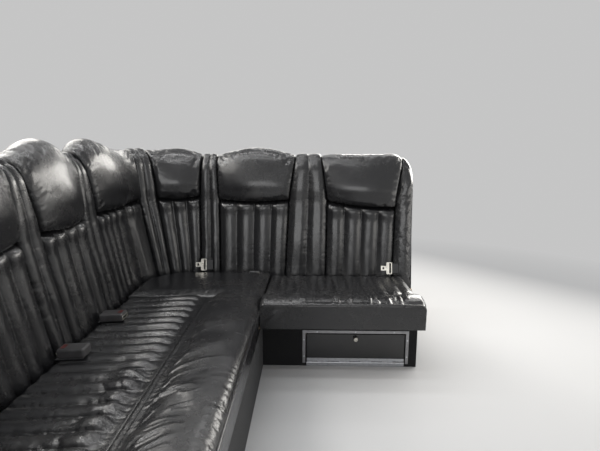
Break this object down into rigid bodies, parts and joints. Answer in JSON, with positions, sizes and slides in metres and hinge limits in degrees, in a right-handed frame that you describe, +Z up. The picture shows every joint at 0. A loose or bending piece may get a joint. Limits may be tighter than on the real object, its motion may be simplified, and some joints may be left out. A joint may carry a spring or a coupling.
{
  "type": "corner lounge bench from a stretched saloon car",
  "caption": "L-shaped black leather lounge bench for a stretched car's cabin, with puffed pillows over sewn channels, a plywood base and a locker with a drop-down door.",
  "frame": {"origin": "on the cabin floor, under the middle of the bench's bounding box", "axes": "+Y forward in the car, along the side bench towards the cross bench; +X to the car's right; +Z up"},
  "size_m": [1.4376, 2.2252, 0.958],
  "materials": {
    "black_leather": "grained, satin gloss",
    "bracket_metal": "zinc plated",
    "bright_metal": "polished",
    "buckle_plastic": "fine texture",
    "carpet": "short looped pile, glued to the boards",
    "gloss_panel": "polished",
    "hinge_metal": "satin",
    "plywood": "raw birch plywood, sealed",
    "trim_metal": "satin",
    "webbing": "woven"
  },
  "bodies": {
    "bench": {"back_posts": "plywood", "band_1": "black_leather", "band_2": "black_leather", "band_3": "black_leather", "band_4": "black_leather", "band_5": "black_leather", "band_6": "black_leather", "band_7": "black_leather", "buckle_1": "buckle_plastic", "buckle_2": "buckle_plastic", "buckle_straps": "webbing", "channels_1": "black_leather", "channels_2": "black_leather", "channels_3": "black_leather", "channels_4": "black_leather", "channels_5": "black_leather", "channels_6_corner": "black_leather", "channels_7": "black_leather", "channels_8": "black_leather", "corner_backboard": "plywood", "corner_cushion": "black_leather", "corner_riser": "plywood", "cross_backboard": "plywood", "cross_cushion": "black_leather", "cross_deck": "plywood", "cross_end_riser": "carpet", "cross_front_riser": "carpet", "cross_front_roll": "black_leather", "cross_rear_riser": "plywood", "floor_brackets": "bracket_metal", "latch_plates": "bright_metal", "locker_hinge": "hinge_metal", "locker_liner": "plywood", "locker_trim": "trim_metal", "near_end_bolster": "black_leather", "pillow_1": "black_leather", "pillow_2": "black_leather", "pillow_3": "black_leather", "pillow_4": "black_leather", "pillow_5": "black_leather", "pillow_6_corner": "black_leather", "pillow_7": "black_leather", "pillow_8": "black_leather", "plate_straps": "webbing", "right_end_bolster": "black_leather", "side_backboard": "plywood", "side_cushion": "black_leather", "side_deck": "plywood", "side_end_riser": "carpet", "side_front_riser": "plywood", "side_front_roll": "black_leather", "side_rear_riser": "plywood", "side_ribs": "plywood", "side_skirt": "carpet"},
    "locker_door": {"locker_door": "gloss_panel", "locker_door_leaf": "hinge_metal", "locker_pull": "bright_metal"}
  },
  "joints": [
    {"name": "locker_door_hinge", "type": "hinge", "parent": "bench", "child": "locker_door", "pos_m": [0.4095, 0.5825, 0.018], "axis": [1, 0, 0], "range_deg": [0, 85]}
  ]
}
